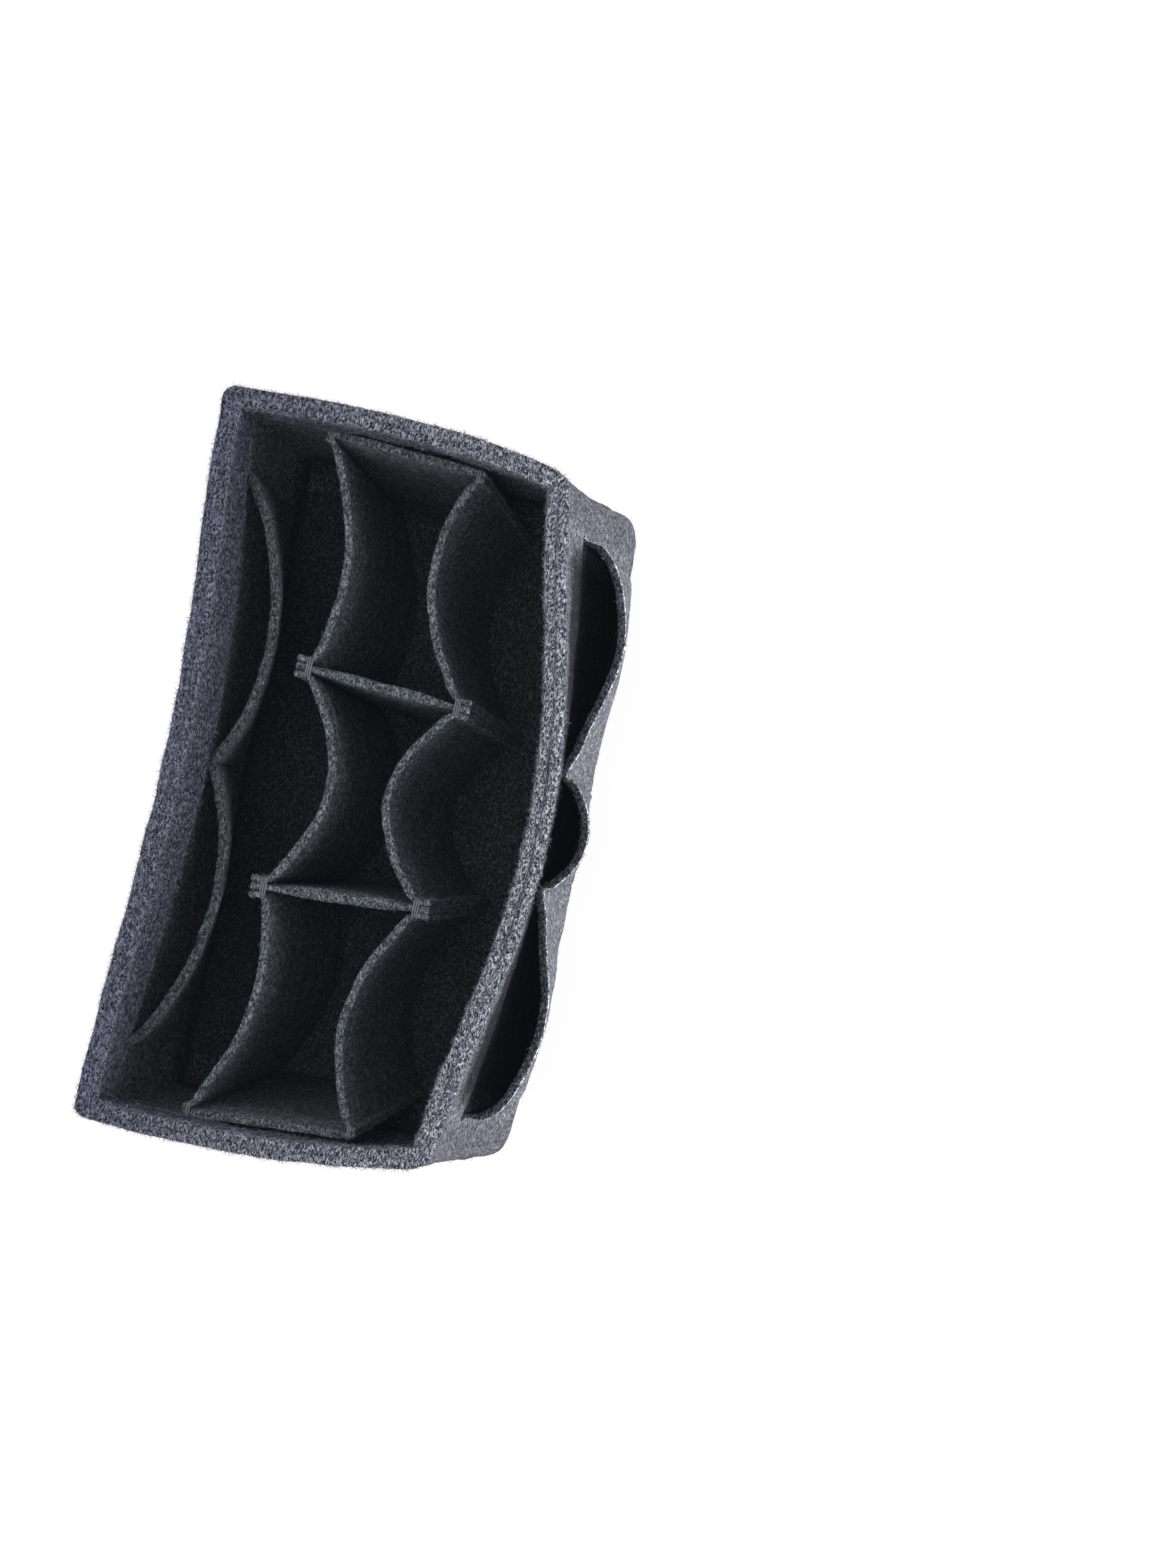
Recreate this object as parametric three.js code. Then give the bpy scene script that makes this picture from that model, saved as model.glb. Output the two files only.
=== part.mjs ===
// Felt purse organizer insert: an open box with outer and inner pockets, and a
// three-cell divider that stands inside it and lifts out.
// Millimetres. X runs along the box, the front faces -Y, Z is up, and the box
// stands on z = 0 with the middle of its floor at the origin.
import * as THREE from 'three';

// Felt
const felt = 3; // thickness of the box's felt
const pocketFelt = 3; // thickness of both pocket panels
const dividerFelt = 3; // thickness of the divider's felt
const layerGap = 0.3; // between felt layers that are sewn together

// Outer box, measured over its outside
const boxLength = 260;
const boxDepth = 136; // at the floor
const boxHeight = 172;
const cornerRadius = 6; // upright corners
const tightestBend = 0.3; // least radius inside a bend of the felt
const turnUnderRadius = 13; // where the ends turn under to the floor
const turnUnderFlat = 2; // flat run of the ends under the box
const cornerReturn = 10; // front and back walls' run along the ends, past the corner
const edgeLift = 0.4; // cut edges of the long walls above the ground
const rimFacingDepth = 24;

// How the filled box bends. All but the foot's bow grow from nothing at the floor.
const sideLean = 6; // the front and the back lean in
const frontFootBow = 3.5; // the front's middle moves out at the floor
const frontBow = 17; // and at the rim
const frontBowPower = 1.8; // more than 1: mostly near the rim
const frontShapePower = 1.5; // from 1, a cosine, to 2, with soft ends
const backBow = 5.2; // the back rim's middle moves in
const backSwell = 6; // the back wall's middle moves in further below the rim
const backSwellBelowRim = 34; // where it does so most
const frontDrawIn = 10.5; // the front corners move towards the middle
const drawInPower = 3; // more than 1: mostly near the corners
const frontSag = 2; // the front rim's middle drops
const backSag = 1;

// Front pocket panel
const pocketFloor = 11; // height of its lower edge
const pocketTop = 125; // height of its upper edge
const pocketTipRise = 3; // its upper corners curl up
const pocketTipPower = 6; // high: only the corners curl
const pocketHalfTop = 112; // half its width at the upper edge
const pocketHalfBottom = 106;
const smallPocketHalfTop = 21;
const smallPocketHalfBottom = 18.5;
const widePocketBulge = 14;
const smallPocketBulge = 10;
const pocketOpening = 0.6; // under 1: opens mostly near the lower edge
const bulgePower = 0.7; // under 1: full over most of a pocket's width

// Inner pocket panel on the back wall
const innerPocketHalf = 104;
const innerPocketFloor = 30;
const innerPocketBelowFacing = 2; // its upper edge lies this far below the rim facing
const innerPocketBulge = 15.5;
const innerPocketOpening = 0.8;

// Divider, measured between the middles of its felt
const dividerBelowRim = 25;
const endDepth = 57; // back strip to front strip at the end panels
const crossDepth = 52; // and at the cross walls
const crossShift = 8.75; // cross walls sit this far towards the front
const dividerFacingGap = 3.2; // end panels to the rim facing, before the front draws in
const endTaper = 6; // end panels lean in by this much towards the floor
const endSlant = 2; // and stand closer together at the front strip, wider at the back one
const crossWallX = 37.5; // cross walls from the middle
const crossTaper = 3;
const crossSlant = 1.8;
const seamTab = 6; // seam allowance behind the strips at the cross walls
const cornerTab = 3; // seam allowance at the end panels
const outerBackBow = 8.5;
const outerFrontBow = 12.5;
const centreBackBow = 14.5;
const centreFrontBow = 16.7;
const stripEase = 2.5; // length over which a strip turns into its seam allowance

const halfLength = boxLength / 2;
const halfDepth = boxDepth / 2;
const wallInset = felt / 2;
const facingInset = felt + layerGap + felt / 2;
const returnEnd = halfDepth - cornerRadius - cornerReturn;
const dividerTop = boxHeight - dividerBelowRim;
const dividerFloor = felt + layerGap;
const endPanelX = halfLength - 2 * felt - layerGap - dividerFacingGap - dividerFelt / 2;
const layerPitch = dividerFelt + layerGap;
const swellPower = Math.log(0.5) / Math.log(1 - backSwellBelowRim / boxHeight);

const organizer = new THREE.Group();

// Adds a named felt piece to the model.
function addPiece(name, geometry, color) {
  const material = new THREE.MeshStandardMaterial({ color, roughness: 1, metalness: 0 });
  const mesh = new THREE.Mesh(geometry, material);
  mesh.name = name;
  organizer.add(mesh);
}

// A number part of the way from a to b.
function mix(a, b, t) {
  return a + (b - a) * t;
}

// Even steps from a to b, both ends included.
function steps(a, b, count) {
  return Array.from({ length: count + 1 }, (_, i) => mix(a, b, i / count));
}

// The normal of a grid of points at column i and row j: the mean of the unit
// normals of the cells round it.
function gridNormal(grid, i, j) {
  const sum = new THREE.Vector3();
  for (const row of [j - 1, j]) {
    for (const column of [i - 1, i]) {
      const inside = row >= 0 && column >= 0 && row < grid.length - 1 && column < grid[0].length - 1;
      if (inside) {
        const a = grid[row][column];
        const along = grid[row][column + 1].clone().sub(a);
        const up = grid[row + 1][column].clone().sub(a);
        sum.add(along.cross(up).normalize());
      }
    }
  }
  return sum.normalize();
}

// A closed sheet of felt. The grid holds the sheet's middle surface, row by row,
// and both faces lie half the thickness off it. bend moves each finished corner.
function sheet(grid, thickness, bend = (point) => point) {
  const rows = grid.length;
  const columns = grid[0].length;
  const positions = [];
  for (const side of [1, -1]) {
    for (let j = 0; j < rows; j += 1) {
      for (let i = 0; i < columns; i += 1) {
        const offset = gridNormal(grid, i, j).multiplyScalar((side * thickness) / 2);
        positions.push(...bend(grid[j][i].clone().add(offset)).toArray());
      }
    }
  }
  const near = (i, j) => j * columns + i;
  const far = (i, j) => rows * columns + j * columns + i;
  const indices = [];
  const quad = (a, b, c, d) => indices.push(a, b, c, a, c, d);
  for (let j = 0; j < rows - 1; j += 1) {
    for (let i = 0; i < columns - 1; i += 1) {
      quad(near(i, j), near(i + 1, j), near(i + 1, j + 1), near(i, j + 1));
      quad(far(i, j), far(i, j + 1), far(i + 1, j + 1), far(i + 1, j));
    }
  }
  const last = { i: columns - 1, j: rows - 1 };
  for (let i = 0; i < last.i; i += 1) {
    quad(near(i + 1, 0), near(i, 0), far(i, 0), far(i + 1, 0));
    quad(near(i, last.j), near(i + 1, last.j), far(i + 1, last.j), far(i, last.j));
  }
  for (let j = 0; j < last.j; j += 1) {
    quad(near(0, j), near(0, j + 1), far(0, j + 1), far(0, j));
    quad(near(last.i, j + 1), near(last.i, j), far(last.i, j), far(last.i, j + 1));
  }
  const geometry = new THREE.BufferGeometry();
  geometry.setAttribute('position', new THREE.Float32BufferAttribute(positions, 3));
  geometry.setIndex(indices);
  geometry.computeVertexNormals();
  return geometry;
}

// Moves a point of the box to where the filled box bends it.
function bendBox(point) {
  const rise = THREE.MathUtils.clamp(point.z / boxHeight, 0, 1);
  const along = THREE.MathUtils.clamp(point.x / halfLength, -1, 1);
  const lean = sideLean * rise * THREE.MathUtils.clamp(point.y / returnEnd, -1, 1);
  const front = THREE.MathUtils.clamp(0.5 - point.y / boxDepth, 0, 1);
  const frontShape = Math.cos((along * Math.PI) / 2) ** frontShapePower;
  const frontMove = mix(frontFootBow, frontBow, rise ** frontBowPower) * frontShape;
  const backShape = 1 - along ** 2;
  const swell = Math.sin(Math.PI * rise ** swellPower);
  const backMove = (backBow * rise + backSwell * swell) * backShape;
  point.x -= frontDrawIn * rise * along * front ** drawInPower;
  point.y -= lean + mix(backMove, frontMove, front);
  point.z -= rise ** 2 * mix(backSag, frontSag, front) * frontShape;
  return point;
}

// Heights of the rim facings' rows.
function facingHeights() {
  return steps(boxHeight - rimFacingDepth, boxHeight, 2);
}

// Heights of a box wall's upright rows, in line with the rim facings' rows.
function wallHeights() {
  const below = steps(turnUnderRadius, boxHeight - rimFacingDepth, 5).slice(1, -1);
  return [...below, ...facingHeights()];
}

// Half-lengths and heights of a box wall's rows, from the flat run under the
// ends, round the turn and up to the rim.
function wallRows(inset) {
  const radius = turnUnderRadius - inset;
  const centre = halfLength - turnUnderRadius;
  const rows = [{ reach: centre - turnUnderFlat, z: inset, floor: true }];
  for (const angle of steps(0, Math.PI / 2, 4)) {
    rows.push({ reach: centre + radius * Math.sin(angle), z: turnUnderRadius - radius * Math.cos(angle) });
  }
  for (const z of wallHeights()) {
    rows.push({ reach: halfLength - inset, z });
  }
  return rows;
}

// Rows of a rim facing, which hangs straight down from the rim.
function facingRows() {
  return facingHeights().map((z) => ({ reach: halfLength - facingInset, z }));
}

// One row of a long wall, from its run on the left end, round both corners, to
// its run on the right end. side is -1 for the front and 1 for the back. The
// lowest row drops to the wall's cut edge between the corners.
function longWallRow(row, inset, side) {
  const radius = Math.max(cornerRadius - inset, felt / 2 + tightestBend);
  const face = halfDepth - inset;
  const half = row.reach - radius;
  const points = [];
  const push = (x, y, z = row.z) => points.push(new THREE.Vector3(x, side * y, z));
  push(-row.reach, returnEnd);
  for (const angle of steps(0, Math.PI / 2, 4)) {
    push(-half - radius * Math.cos(angle), face - radius + radius * Math.sin(angle));
  }
  for (const x of steps(-half, half, 16).slice(1, -1)) {
    push(x, face, row.floor ? edgeLift : row.z);
  }
  for (const angle of steps(Math.PI / 2, 0, 4)) {
    push(half + radius * Math.cos(angle), face - radius + radius * Math.sin(angle));
  }
  push(row.reach, returnEnd);
  return points;
}

function longWall(rows, inset, side) {
  return sheet(rows.map((row) => longWallRow(row, inset, side)), felt, bendBox);
}

// An end wall or its facing, between the runs of the long walls.
function endWall(rows, side) {
  const half = returnEnd - layerGap;
  const grid = rows.map((row) => steps(-half, half, 4).map((y) => new THREE.Vector3(side * row.reach, y, row.z)));
  return sheet(grid, felt, bendBox);
}

// The floor: a rounded rectangle whose long edges follow the walls at the floor.
function bottomPanel() {
  const x = halfLength - turnUnderRadius - turnUnderFlat - layerGap;
  const y = halfDepth - felt - layerGap;
  const quarter = steps(0, Math.PI / 2, 5);
  const corner = (angle) => [
    x - cornerRadius + cornerRadius * Math.sin(angle),
    y - cornerRadius + cornerRadius * Math.cos(angle),
  ];
  const rightCorner = quarter.map(corner);
  const leftCorner = quarter.map(corner).reverse().map(([across, out]) => [-across, out]);
  const between = steps(cornerRadius - x, x - cornerRadius, 16).slice(1, -1).map((across) => [across, y]);
  const half = [...leftCorner, ...between, ...rightCorner];
  const backEdge = half.map(([across, out]) => new THREE.Vector3(across, out, 0));
  const frontEdge = half.map(([across, out]) => new THREE.Vector3(across, -out, 0)).reverse();
  const outline = [...backEdge, ...frontEdge].map(bendBox);
  const shape = new THREE.Shape(outline.map((point) => new THREE.Vector2(point.x, point.y)));
  return new THREE.ExtrudeGeometry(shape, { depth: felt, bevelEnabled: false });
}

// How far a pocket stands off its wall at a share t of its width: nothing at
// both seams, and full over most of the middle.
function bulge(t) {
  return Math.sin(Math.PI * THREE.MathUtils.clamp(t, 0, 1)) ** bulgePower;
}

// Outer panel of the front: one wide pocket, the small one and another wide one.
function frontPocketPanel() {
  const rows = steps(0, 1, 5).map((up) => {
    const edge = mix(pocketHalfBottom, pocketHalfTop, up);
    const seam = mix(smallPocketHalfBottom, smallPocketHalfTop, up);
    const open = up ** pocketOpening;
    const point = (x, standOff) => {
      const tip = pocketTipRise * up * Math.abs(x / edge) ** pocketTipPower;
      const y = -(halfDepth + layerGap + pocketFelt / 2 + standOff * open);
      return new THREE.Vector3(x, y, mix(pocketFloor, pocketTop, up) + tip);
    };
    const wide = steps(0, 1, 12).map((t) => point(mix(seam, edge, t), widePocketBulge * bulge(t)));
    const small = steps(0, 1, 8).map((t) => point(mix(-seam, seam, t), smallPocketBulge * bulge(t)));
    const mirrored = wide.map((p) => new THREE.Vector3(-p.x, p.y, p.z)).reverse();
    return [...mirrored, ...small.slice(1, -1), ...wide];
  });
  return sheet(rows, pocketFelt, bendBox);
}

// Inner panel of the back wall: two pockets with a seam between them.
function innerPocketPanel() {
  const top = boxHeight - rimFacingDepth - innerPocketBelowFacing;
  const face = halfDepth - felt - layerGap - pocketFelt / 2;
  const between = wallHeights().filter((z) => z > innerPocketFloor && z < top);
  const rows = [innerPocketFloor, ...between, top].map((z) => {
    const open = ((z - innerPocketFloor) / (top - innerPocketFloor)) ** innerPocketOpening;
    const point = (x) => {
      const y = face - innerPocketBulge * open * bulge(Math.abs(x) / innerPocketHalf);
      return new THREE.Vector3(x, y, z);
    };
    return steps(-innerPocketHalf, innerPocketHalf, 24).map(point);
  });
  return sheet(rows, pocketFelt, bendBox);
}

// How far something of the divider has leant in, from all of lean at the floor
// to nothing at the top.
function leanAt(z, lean) {
  return (lean * (dividerTop - z)) / (dividerTop - dividerFloor);
}

// How far out a slanted wall of the divider stands at y, measured from its own middle.
function slantAt(y, slant) {
  return (slant * y) / (endDepth / 2);
}

// Plan of one long side of a cell. It starts and ends in a seam allowance that
// turns outwards, and bows in towards the cell between them.
function stripPlan(start, end, bow, outward) {
  const curve = (t) => {
    const y = mix(start.y, end.y, t) - outward * bow * Math.sin(Math.PI * t);
    return new THREE.Vector2(mix(start.x, end.x, t), y);
  };
  const share = stripEase / curve(0).distanceTo(curve(0.1)) / 10;
  const knee = (corner, far) => {
    const near = new THREE.Vector2(corner.x, corner.y + outward * stripEase);
    return new THREE.QuadraticBezierCurve(near, new THREE.Vector2(corner.x, corner.y), far).getPoints(4);
  };
  const middle = steps(share, 1 - share, 10).map(curve);
  return [
    new THREE.Vector2(start.x, start.y + outward * start.tab),
    ...knee(start, middle[0]),
    ...middle.slice(1, -1),
    ...knee(end, middle.at(-1)).reverse(),
    new THREE.Vector2(end.x, end.y + outward * end.tab),
  ];
}

// One long side of a cell, standing on the floor of the box. outward is 1 for a
// back strip and -1 for a front strip.
function strip(start, end, bow, outward) {
  const grid = steps(dividerFloor, dividerTop, 2).map((z) => {
    const lean = (place) => ({ ...place, x: place.x - Math.sign(place.x) * leanAt(z, place.lean) });
    const plan = stripPlan(lean(start), lean(end), bow, outward);
    return plan.map((p) => new THREE.Vector3(p.x, p.y, z));
  });
  return sheet(grid, dividerFelt);
}

// Where strips end: at the inner side of a cross wall, at its outer side, and
// at an end panel. A cross wall is two layers, so the strips stand 1.5 pitches
// off its middle. A tab runs straight, clear of the slanted wall it is sewn to.
function stripEnds(side, outward) {
  const crossY = (outward * crossDepth) / 2;
  const endY = (outward * endDepth) / 2;
  const crossSlants = [slantAt(crossY, crossSlant), slantAt(crossY + outward * seamTab, crossSlant)];
  const endSlants = [slantAt(endY, endSlant), slantAt(endY + outward * cornerTab, endSlant)];
  const innerX = crossWallX - 1.5 * layerPitch + Math.min(...crossSlants);
  const outerX = crossWallX + 1.5 * layerPitch + Math.max(...crossSlants);
  const cornerX = endPanelX - layerPitch + Math.min(...endSlants);
  return {
    inner: { x: side * innerX, y: crossY - crossShift, tab: seamTab, lean: crossTaper },
    outer: { x: side * outerX, y: crossY - crossShift, tab: seamTab, lean: crossTaper },
    corner: { x: side * cornerX, y: endY, tab: cornerTab, lean: endTaper },
  };
}

function endPanel(side) {
  const half = endDepth / 2 + cornerTab;
  const grid = steps(dividerFloor, dividerTop, 1).map((z) =>
    steps(-half, half, 1).map((y) => {
      const x = endPanelX + slantAt(y, endSlant) - leanAt(z, endTaper);
      return new THREE.Vector3(side * x, y, z);
    }),
  );
  return sheet(grid, dividerFelt);
}

// A cross wall: one piece that goes up, over a fold at the top and down again.
function crossWall(side) {
  const half = layerPitch / 2;
  const foldZ = dividerTop - dividerFelt / 2 - half;
  const profile = [
    ...steps(dividerFloor, foldZ, 2).map((z) => [-half, z]),
    ...steps(0, Math.PI, 6).slice(1, -1).map((angle) => [-half * Math.cos(angle), foldZ + half * Math.sin(angle)]),
    ...steps(foldZ, dividerFloor, 2).map((z) => [half, z]),
  ];
  const reach = crossDepth / 2 + seamTab;
  const grid = steps(-reach, reach, 1).map((y) =>
    profile.map(([x, z]) => {
      const middle = side * (crossWallX + slantAt(y, crossSlant) - leanAt(z, crossTaper));
      return new THREE.Vector3(middle + x, y - crossShift, z);
    }),
  );
  return sheet(grid, dividerFelt);
}

const outerColor = 0x4a5162;
const innerColor = 0x3a4150;

addPiece('front_wall', longWall(wallRows(wallInset), wallInset, -1), outerColor);
addPiece('back_wall', longWall(wallRows(wallInset), wallInset, 1), outerColor);
addPiece('end_wall_left', endWall(wallRows(wallInset), -1), outerColor);
addPiece('end_wall_right', endWall(wallRows(wallInset), 1), outerColor);
addPiece('bottom_panel', bottomPanel(), outerColor);
addPiece('rim_facing_front', longWall(facingRows(), facingInset, -1), outerColor);
addPiece('rim_facing_back', longWall(facingRows(), facingInset, 1), outerColor);
addPiece('rim_facing_left', endWall(facingRows(), -1), outerColor);
addPiece('rim_facing_right', endWall(facingRows(), 1), outerColor);
addPiece('front_pocket_panel', frontPocketPanel(), outerColor);
addPiece('inner_pocket_panel', innerPocketPanel(), innerColor);

for (const [face, outward] of [['back', 1], ['front', -1]]) {
  const left = stripEnds(-1, outward);
  const right = stripEnds(1, outward);
  const outerBow = outward > 0 ? outerBackBow : outerFrontBow;
  const centreBow = outward > 0 ? centreBackBow : centreFrontBow;
  addPiece(`divider_${face}_left`, strip(left.corner, left.outer, outerBow, outward), innerColor);
  addPiece(`divider_${face}_centre`, strip(left.inner, right.inner, centreBow, outward), innerColor);
  addPiece(`divider_${face}_right`, strip(right.outer, right.corner, outerBow, outward), innerColor);
}

for (const [end, side] of [['left', -1], ['right', 1]]) {
  addPiece(`divider_end_${end}`, endPanel(side), innerColor);
  addPiece(`divider_cross_${end}`, crossWall(side), innerColor);
}

export default organizer;
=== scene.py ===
"""Looks of a felt purse organizer insert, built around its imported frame.

Metres, in the frame's own axes: X runs along the box, the front faces -Y and Z is up.
"""

import math

import bpy
import numpy as np
from mathutils import Matrix, Vector


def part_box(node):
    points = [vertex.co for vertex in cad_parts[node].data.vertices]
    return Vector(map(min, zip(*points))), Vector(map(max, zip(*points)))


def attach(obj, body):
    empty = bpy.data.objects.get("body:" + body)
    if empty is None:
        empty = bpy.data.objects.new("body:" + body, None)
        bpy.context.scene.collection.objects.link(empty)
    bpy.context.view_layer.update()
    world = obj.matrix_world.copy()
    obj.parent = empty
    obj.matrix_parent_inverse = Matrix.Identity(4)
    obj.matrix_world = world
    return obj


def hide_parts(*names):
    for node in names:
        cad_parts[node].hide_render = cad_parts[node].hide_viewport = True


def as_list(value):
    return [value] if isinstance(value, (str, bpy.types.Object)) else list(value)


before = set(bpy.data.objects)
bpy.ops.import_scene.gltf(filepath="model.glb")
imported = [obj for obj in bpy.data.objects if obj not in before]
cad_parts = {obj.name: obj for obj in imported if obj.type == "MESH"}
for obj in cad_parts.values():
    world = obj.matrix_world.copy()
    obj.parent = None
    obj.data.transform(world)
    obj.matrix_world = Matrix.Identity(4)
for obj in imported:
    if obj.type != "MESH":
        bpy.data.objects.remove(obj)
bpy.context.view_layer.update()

# Felt
FELT = 0.003
LAYER_GAP = 0.0003
GROUND_GAP = 0.0001

# Outer box
HALF_LENGTH, _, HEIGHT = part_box("end_wall_right")[1]
HALF_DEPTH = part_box("bottom_panel")[1].y + FELT + LAYER_GAP
DEPTH = 2 * HALF_DEPTH
CORNER_RADIUS = 0.006
WALL_CORNERS = {-1: (0.008, 0.007), 1: (0.006, 0.0034)}  # radius at foot and rim: front, back
TIGHTEST_BEND = 0.0018
CORNER_RETURN = 0.010
TURN_RADIUS = 0.013
TURN_FLAT = 0.002
TURN_BLEND = 0.001
EDGE_LIFT = 0.0004
FACING_DEPTH = 0.024
WALL_INSET = FELT / 2
FACING_INSET = FELT + LAYER_GAP + FELT / 2
RETURN_END = HALF_DEPTH - CORNER_RADIUS - CORNER_RETURN
SEAM_OVERLAP = 0.0006  # how far an end piece is pressed into the edges it is sewn to
WALL_FOOT = TURN_FLAT + TURN_RADIUS * math.pi / 2
WALL_CUT = WALL_FOOT + HEIGHT - TURN_RADIUS

# How the filled box bends
SIDE_LEAN = 0.006
FRONT_FOOT_BOW = 0.0036
FRONT_FOOT_OUT = (0.0003, 0.0022)  # the front's foot stands out this far at the left and right corner
FRONT_BOW = 0.017
FRONT_BOW_POWER = 1.8
FRONT_SHAPE_POWER = 1.5
BACK_BOW = 0.0052
BACK_BOW_CENTRE = 0.010
BACK_BOW_POWER = 2.2
BACK_SWELL = 0.006
BACK_SWELL_BELOW_RIM = 0.034
FRONT_DRAW_IN = 0.0105
RIGHT_DRAW_IN = 0.0022  # draws the right front corner in further, half way up
BACK_DRAW_IN = 0.0020
DRAW_IN_POWER = 3
FRONT_SAG = 0.002
BACK_SAG = 0.001

# Rim
RIM_SPREAD = {-1: 0.00035, 1: 0.0}  # how far each layer moves from the other at the front and back rim
SPREAD_DEPTH = 0.005
RIM_FLUFF = 0.32  # share by which felt is thicker at the rim's cut edge
FLUFF_DEPTH = 0.003
CORNER_FILL = 0.0014  # how much thicker the wall is in a tight corner of the rim
HEM_STEP = 0.0005
HEM_BLEND = 0.004

# Front pocket panel
POCKET_FLOOR = 0.011
POCKET_TOP = 0.125
POCKET_TALL = POCKET_TOP - POCKET_FLOOR
POCKET_TIP_RISE = 0.003
POCKET_TIP_POWER = 6
POCKET_HALF = 0.1135  # half the width of the panel at its upper edge, and at its foot
POCKET_FOOT_HALF = 0.106
POCKET_MARGIN = 0.0025
SMALL_HALF = 0.021  # the same of the small pocket
SMALL_FOOT_HALF = 0.0185
WIDE_BULGE = 0.014
SMALL_BULGE = 0.010
BULGE_SKEW = 1.5
POCKET_OPENING = 0.8
BULGE_POWER = 0.7
OUTER_BULGE_POWER = 0.42  # under 1: steep at the outer seam
INNER_BULGE_POWER = 1.0
SEWN_SINK = 0.0013  # how far a sewn panel is pulled into its wall
SIDE_SINK = 0.0024  # the same in the margins at its ends
SINK_FADE = 0.002  # how far off the wall that ends
MARGIN_FADE = 0.001
SEAM_WIDTH = 0.0007
SEAM_PRESS = 0.45  # share of the felt's thickness that the stitches press away
MARGIN_PRESS = 0.5
THREAD_DEPTH = 0.3 * FELT  # how far the thread lies from the felt's middle
STITCHES_FROM = 0.004  # above the panel's foot
STITCHES_TO = 0.0015  # below its upper edge
SEAM_POINTS = 200  # along an upright seam, and along the foot
FOOT_POINTS = 300

# Inner pocket panel
INNER_HALF = 0.104
INNER_FLOOR = 0.030
INNER_TOP = HEIGHT - FACING_DEPTH - 0.002
INNER_BULGE = 0.0155
INNER_OPENING = 0.8
INNER_SEAM_WIDTH = 0.0008
INNER_SEAM_PRESS = 0.4
INNER_THREAD_DEPTH = 0.32 * FELT

# Divider, which stands on the floor of the box
DIVIDER_TOP = HEIGHT - 0.025
DIVIDER_FLOOR = FELT + LAYER_GAP
DIVIDER_TALL = DIVIDER_TOP - DIVIDER_FLOOR
END_HALF = {-1: 0.0280, 1: 0.0262}  # half the depth at the left and right end panel
SLANT_HALF = 0.0285  # half the depth over which the slants below are given
CROSS_HALF = 0.026
CROSS_SHIFT = 0.00875
END_X = 0.1198
END_TAPER = 0.006
END_SLANT = 0.0020
CROSS_X = 0.0375
CROSS_TAPER = 0.003
CROSS_SLANT = 0.0018
SEAM_TAB = 0.006
CORNER_TAB = 0.003
CORNER_PITCH = 0.0020  # between the middles of a strip and an end panel at their seam
JUNCTION_HALF = 0.0022  # from the middle of a cross wall to that of a strip at their seam
TAB_OPEN = 0.0006  # how much further apart they are at the end of the tab
PINCH = 0.68  # share of the felt's thickness left at a seam
TAB_PINCH = 0.76
PINCH_REACH = 0.004
FOLD_PITCH = (0.0019, 0.0011, 0.0016)  # of a cross wall's two layers: in the middle, at the seam, at the tab
FOLD_THICK = (0.78, 0.38, 0.55)  # their share of the felt's thickness there
FOLD_REACH = 0.018
FOLD_PAINTED_LIGHT = 0.9  # painted light on the fold's top: how much of the cut edges' paleness it shows
FOLD_LIGHT_WIDTH = 0.003
DIVIDER_SHADE = 0.5  # painted shade: how much darker the divider gets down to the next depth
DIVIDER_SHADE_DEPTH = 0.040
STRIP_SAG = 0.0006
PLAN_POINTS = 60
PLAN_SMOOTHINGS = 6
TAB_START = 0.0008  # how far past its corner a tab's first point is
TAB_POINTS = 8
# How far the long sides of the outer cells bow in, and those of the centre cell
STRIP_BOWS = {"back": (0.0088, 0.0145), "front": (0.0125, 0.0167)}
TACK_PITCH = 0.0008
END_TACK_HALF = 0.0023  # half the width of a bar tack at an end panel
CROSS_TACK_HALF = JUNCTION_HALF + 0.0012


def mix(a, b, t):
    return a + (b - a) * t


def smooth(t):
    """Eases from 0 to 1 as t goes from 0 to 1."""
    t = np.clip(t, 0, 1)
    return t * t * (3 - 2 * t)


def bump(distance, width):
    """A smooth hump, 1 where distance is 0 and nothing beyond a few widths."""
    return np.exp(-((distance / width) ** 2))


def unit(vectors):
    return vectors / np.maximum(np.linalg.norm(vectors, axis=-1, keepdims=True), 1e-12)


WAVES = 14
WAVE_SPREAD = (0.7, 1.5)  # least and greatest length of a wave, as a share of the wavelength


def ripple(points, wavelength, seed):
    """Irregular waves between about -1 and 1: the sum of plane waves in random directions,
    each about one wavelength long."""
    rng = np.random.default_rng(seed)
    direction = unit(rng.normal(size=(WAVES, 3)))
    pitch = wavelength * rng.uniform(*WAVE_SPREAD, WAVES)
    phase = rng.uniform(0, 2 * np.pi, WAVES)
    turns = points @ (direction * (2 * np.pi / pitch)[:, None]).T
    return np.sin(turns + phase).sum(-1) / math.sqrt(WAVES)


# Distances from a cut edge, and from a seam, at which a sheet has points
EDGE_STATIONS = np.array([0, 0.00007, 0.00022, 0.0005, 0.001, 0.0017])
SEAM_STATIONS = np.array([-0.002, -0.0011, -0.0005, 0, 0.0005, 0.0011, 0.002])
SPACING = 0.0017
CLEARANCE = 0.4 * SPACING  # of the evenly spaced places from the closer ones
CLOSEST = 0.00004


def stations(start, end, seams=()):
    """Places from start to end: evenly spaced, and closer at both cut edges and at each seam."""
    fine = [start + EDGE_STATIONS, end - EDGE_STATIONS] + [s + SEAM_STATIONS for s in seams]
    fine = np.concatenate(fine)
    even = np.linspace(start, end, int(round((end - start) / SPACING)) + 1)
    clear = np.abs(even[:, None] - fine[None]).min(1) > CLEARANCE
    places = np.sort(np.concatenate([even[clear], fine[(fine >= start) & (fine <= end)]]))
    return places[np.concatenate([[True], np.diff(places) > CLOSEST])]


def grid_normals(points):
    """Unit normals of a grid of points, from the directions of its rows and columns."""
    return unit(np.cross(np.gradient(points, axis=0), np.gradient(points, axis=1)))


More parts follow.
